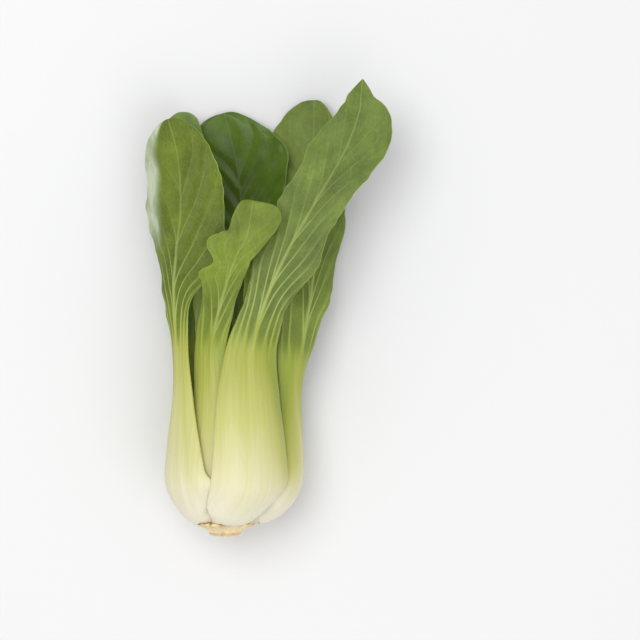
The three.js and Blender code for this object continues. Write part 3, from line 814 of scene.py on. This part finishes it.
def leaf_material(name, blade_tone, vein_tone, finish):
    """Living leaf tissue: cream stalk, yellow-green shoulder, green blade with paler veins."""
    blade_roughness, specular, net_depth = finish
    n = Nodes(name)
    vein = n.attribute("vein")
    blade = n.attribute("blade")
    streaks = n.noise(7.0, 0.22, 4.0, 0.6)
    fine_streaks = n.noise(26.0, 0.6, 2.0)
    patches = n.noise(0.55, 0.4, 5.0, 0.62)
    mottle = n.noise(6.0, 5.0, 4.0, 0.65)
    crinkles = n.noise(1.7, 0.5, 5.0, 0.6)
    net = n.cells(3.4, 2.4)
    fine_net = n.cells(9.5, 7.5)
    uneven = n.math("SUBTRACT", streaks, 0.5)
    finely_uneven = n.math("SUBTRACT", fine_streaks, 0.5)

    # Stalk: its tones, streaked lengthwise
    streaked = n.math("ADD", n.attribute("green"), n.math("MULTIPLY", uneven, 0.2))
    streaked = n.math("ADD", streaked, n.math("MULTIPLY", finely_uneven, 0.1))
    stalk = n.ramp(streaked, list(zip(STALK_STOPS, STALK_TONES)))

    # Blade: patches, mottle, the neck's tone, the painted sheen of a fold, the net, the veins and the
    # margin, whose pale rim is partly painted edge highlight
    light = tuple(min(255, c * 1.17 + 4) for c in blade_tone)
    dark = tuple(c * 0.8 for c in blade_tone)
    tissue = n.ramp(patches, ((0.28, dark), (0.5, blade_tone), (0.74, light)))
    tissue = n.blend(n.spread(mottle, 0.35, 0.7, 0.0, 0.22), tissue, tone(dark))
    tissue = n.blend(n.math("MULTIPLY", n.attribute("neck"), 0.6), tissue, tone(NECK_TONE))
    # Painted sheen: the folded margin is paled where light catches it
    fold_sheen = n.math("MULTIPLY", n.attribute("fold_sheen"), n.spread(crinkles, 0.34, 0.66, 0.48, 0.9))
    tissue = n.blend(fold_sheen, tissue, tone(FOLD_SHEEN_TONE))
    coarse_lines = n.math("MULTIPLY", n.spread(net, 0.0, 0.07, 1.0, 0.0), 0.09)
    fine_lines = n.math("MULTIPLY", n.spread(fine_net, 0.0, 0.09, 1.0, 0.0), 0.06)
    for share in (
        n.math("MAXIMUM", coarse_lines, fine_lines),
        n.spread(vein, 0.02, 0.5, 0.0, 0.14),
        n.spread(vein, 0.2, 0.95, 0.0, 0.85),
        # A pale rim along the margin: partly the thin edge's own paler tone, partly painted edge
        # highlight
        n.spread(n.attribute("margin"), 0.972, 0.995, 0.0, 0.45),
    ):
        tissue = n.blend(share, tissue, tone(vein_tone))

    # The blade's green comes down the stalk in fingers between the veins
    fingers = n.math("ADD", blade, n.math("MULTIPLY", uneven, 0.8))
    fingers = n.math("ADD", fingers, n.math("MULTIPLY", n.attribute("between"), 0.4))
    fingers = n.math("SUBTRACT", fingers, n.math("MULTIPLY", vein, 0.3))
    colour = n.blend(n.spread(fingers, 0.15, 0.95), stalk, tissue)
    browned = n.math("MULTIPLY", n.attribute("cut"), n.spread(mottle, 0.25, 0.6, 0.45, 1.0))
    colour = n.blend(browned, colour, tone(CUT_TONE))
    n.put(n.shader.inputs["Base Color"], colour)

    rougher = n.math("MULTIPLY", blade, blade_roughness - STALK_ROUGHNESS)
    rough = n.math("ADD", STALK_ROUGHNESS, rougher)
    rough = n.math("ADD", rough, n.math("MULTIPLY", n.math("SUBTRACT", mottle, 0.5), 0.14))
    n.put(n.shader.inputs["Roughness"], rough)
    n.shader.inputs["Subsurface Weight"].default_value = 0.22
    n.shader.inputs["Subsurface Radius"].default_value = (0.7, 1.0, 0.35)
    n.shader.inputs["Subsurface Scale"].default_value = 0.0025
    n.shader.inputs["Specular IOR Level"].default_value = specular
    net_height = n.math("MULTIPLY", n.spread(net, 0.0, 0.12), blade)
    n.bump(((streaks, 0.12, 0.0005), (net_height, net_depth, 0.0003), (mottle, 0.18, 0.0003)))
    return n.material


def crown_material():
    """Dried cut stem: straw to orange-brown, rough, darker in its scars."""
    n = Nodes("crown_dried")
    patches = n.noise(1.2, 1.2, 6.0, 0.65)
    grain = n.noise(5.0, 7.0, 6.0, 0.7)
    fibres = n.noise(9.0, 0.9, 5.0, 0.65)
    colour = n.ramp(patches, list(zip(CROWN_STOPS, CROWN_TONES)))
    colour = n.blend(n.spread(grain, 0.45, 0.75, 0.0, 0.5), colour, tone(GRAIN_TONE))
    colour = n.blend(n.spread(fibres, 0.55, 0.8, 0.0, 0.35), colour, tone(FIBRE_TONE))
    worn = n.math("MULTIPLY", n.attribute("scar"), n.spread(grain, 0.3, 0.62, 0.5, 1.0))
    colour = n.blend(worn, colour, tone(SCAR_TONE))
    n.put(n.shader.inputs["Base Color"], colour)
    n.put(n.shader.inputs["Roughness"], n.spread(grain, 0.2, 0.8, 0.62, 0.88))
    n.shader.inputs["Subsurface Weight"].default_value = 0.12
    n.shader.inputs["Subsurface Radius"].default_value = (1.0, 0.7, 0.4)
    n.shader.inputs["Subsurface Scale"].default_value = 0.0015
    n.bump(((fibres, 0.5, 0.0006), (grain, 0.6, 0.0005)))
    return n.material


def crown_arrays():
    """The crown's skin, turned about the head's axis: its grid of points, scars and UVs."""
    place = np.linspace(0, len(CROWN_PROFILE) - 1, CROWN_RINGS + 1)
    radius, along = (v[:, None] for v in through(CROWN_PROFILE, place).T)
    angle = np.linspace(0, TURN, CROWN_SIDES + 1)[None, :]
    wrapped = np.minimum(angle, TURN - angle) * 3.2
    side = np.where(angle < math.pi, 0.0, 31.0)
    lumps = noise(wrapped + side * smoothstep(wrapped, 0, 1), along / 4 + 7, CROWN_SEED + 1)
    grain = noise(wrapped * 6 + 3, along * 1.1, CROWN_SEED + 2)
    torn = np.exp(-(((along - 7.6) / 1.6) ** 2)) * (radius > 9)
    scars = torn * smoothstep(noise(wrapped * 2.3 + 11, along / 6, CROWN_SEED + 3), -0.35, 0.5)
    outside = smoothstep(radius, 2, 9)
    ragged = torn * 0.9 * noise(wrapped * 3.1, along / 3, CROWN_SEED + 4)
    reach = radius + outside * (0.75 * lumps + 0.28 * grain) + ragged
    rise = along + (1 - outside) * 0.5 * noise(radius * 0.5 + 5, wrapped, CROWN_SEED + 5) * (along < 3)
    x = reach * np.sin(angle) + root_offset(along)
    z = AXIS_HEIGHT + reach * np.cos(angle)
    points = np.stack([x, np.maximum(rise, 0) + 0 * x, z], -1)
    uv = np.stack([radius * angle / 10 * np.ones_like(x), along / 10 + 0 * x], -1)
    rim = np.exp(-(((radius - 8.6) / 1.2) ** 2)) * (along < 2)
    scar = np.clip(scars + 0.55 * rim, 0, 1) + 0 * x
    return points, scar, uv


def to_frame(points, origin):
    """Points of the head, in millimetres, as points of the frame, in metres."""
    return points.reshape(-1, 3) * MM + origin


def build_crown(origin):
    """The crown's fine skin, in place of the frame's crown."""
    points, scar, uv = crown_arrays()
    faces = grid_faces(CROWN_RINGS, CROWN_SIDES)[1]
    one_slot = np.zeros(len(faces), int)
    crown = make_mesh("crown_skin", to_frame(points, origin), faces, {"scar": scar}, uv.reshape(-1, 2),
                      [crown_material()], one_slot)
    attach(crown, "root")
    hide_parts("crown")


def build_leaf(name, seed, origin):
    """A fine leaf, in place of the frame's leaf of that name."""
    outer_tone, inner_tone = BLADE_TONES.get(name, YOUNG_TONES)
    shape = Leaf(name, seed)
    outer, inner = shape.faces()
    faces, slots = leaf_faces(*DETAIL[name]["grid"])
    points = np.concatenate([to_frame(outer, origin), to_frame(inner, origin)])
    looks = {key: np.concatenate([values.ravel()] * 2) for key, values in shape.looks().items()}
    uv = np.concatenate([shape.uv().reshape(-1, 2)] * 2)
    materials = [
        leaf_material(name + "_outer", outer_tone, VEIN_TONE, OUTER_FINISH),
        leaf_material(name + "_inner", inner_tone, INNER_VEIN_TONE, INNER_FINISH),
    ]
    leaf = make_mesh(name + "_fine", points, faces, looks, uv, materials, slots)
    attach(leaf, "root")
    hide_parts(name)


def build_floor():
    """A plain pale floor."""
    side = FLOOR_HALF_SIDE
    corners = [(-side, -side, 0), (side, -side, 0), (side, side, 0), (-side, side, 0)]
    mesh = bpy.data.meshes.new("floor")
    mesh.from_pydata(corners, [], [(0, 1, 2, 3)])
    floor = bpy.data.objects.new("floor", mesh)
    bpy.context.scene.collection.objects.link(floor)
    material = bpy.data.materials.new("floor_pale")
    material.use_nodes = True
    shader = material.node_tree.nodes["Principled BSDF"]
    shader.inputs["Base Color"].default_value = tone(FLOOR_TONE)
    shader.inputs["Roughness"].default_value = 0.7
    mesh.materials.append(material)


def build_light():
    """Plain soft studio light: an even sky and two round lamps."""
    world = bpy.data.worlds.new("studio")
    world.use_nodes = True
    background = world.node_tree.nodes["Background"]
    background.inputs["Color"].default_value = (1.0, 1.0, 1.0, 1.0)
    background.inputs["Strength"].default_value = SKY_STRENGTH
    bpy.context.scene.world = world
    for name, (place, size, power) in LAMPS.items():
        data = bpy.data.lights.new(name, "AREA")
        data.shape = "DISK"
        data.size = size
        data.energy = power
        lamp = bpy.data.objects.new(name, data)
        lamp.location = place
        towards = Vector(np.subtract(LAMP_TARGET, place))
        lamp.rotation_euler = towards.to_track_quat("-Z", "Y").to_euler()
        bpy.context.scene.collection.objects.link(lamp)


def build_camera(origin):
    """A camera straight above the photograph's middle, with the photograph's frame."""
    data = bpy.data.cameras.new("camera")
    data.sensor_width = SENSOR
    span = PHOTO_SIDE * MM_PER_PIXEL * MM
    middle_height = AXIS_HEIGHT * MM
    data.lens = SENSOR * (CAMERA_HEIGHT - middle_height) / span
    camera = bpy.data.objects.new("camera", data)
    camera.location = (
        PHOTO_MIDDLE[0] * MM + origin[0],
        PHOTO_MIDDLE[1] * MM + origin[1],
        CAMERA_HEIGHT,
    )
    bpy.context.scene.collection.objects.link(camera)
    bpy.context.scene.camera = camera


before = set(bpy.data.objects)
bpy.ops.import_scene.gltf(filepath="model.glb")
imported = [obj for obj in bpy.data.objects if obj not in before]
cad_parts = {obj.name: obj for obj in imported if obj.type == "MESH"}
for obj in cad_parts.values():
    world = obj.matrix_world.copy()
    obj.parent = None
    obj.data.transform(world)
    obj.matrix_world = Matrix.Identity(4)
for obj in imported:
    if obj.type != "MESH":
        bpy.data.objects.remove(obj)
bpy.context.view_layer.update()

crown_low, crown_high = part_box("crown")
head_origin = np.array([
    (crown_low[0] + crown_high[0]) / 2 - root_offset(CROWN_WIDEST_AT) * MM,
    crown_low[1],
    (crown_low[2] + crown_high[2]) / 2 - AXIS_HEIGHT * MM,
])

build_camera(head_origin)
build_light()
build_floor()
build_crown(head_origin)
for number, leaf_name in enumerate(LEAVES):
    build_leaf(leaf_name, FIRST_SEED + number, head_origin)

scene = bpy.context.scene
scene.view_settings.view_transform = "Standard"
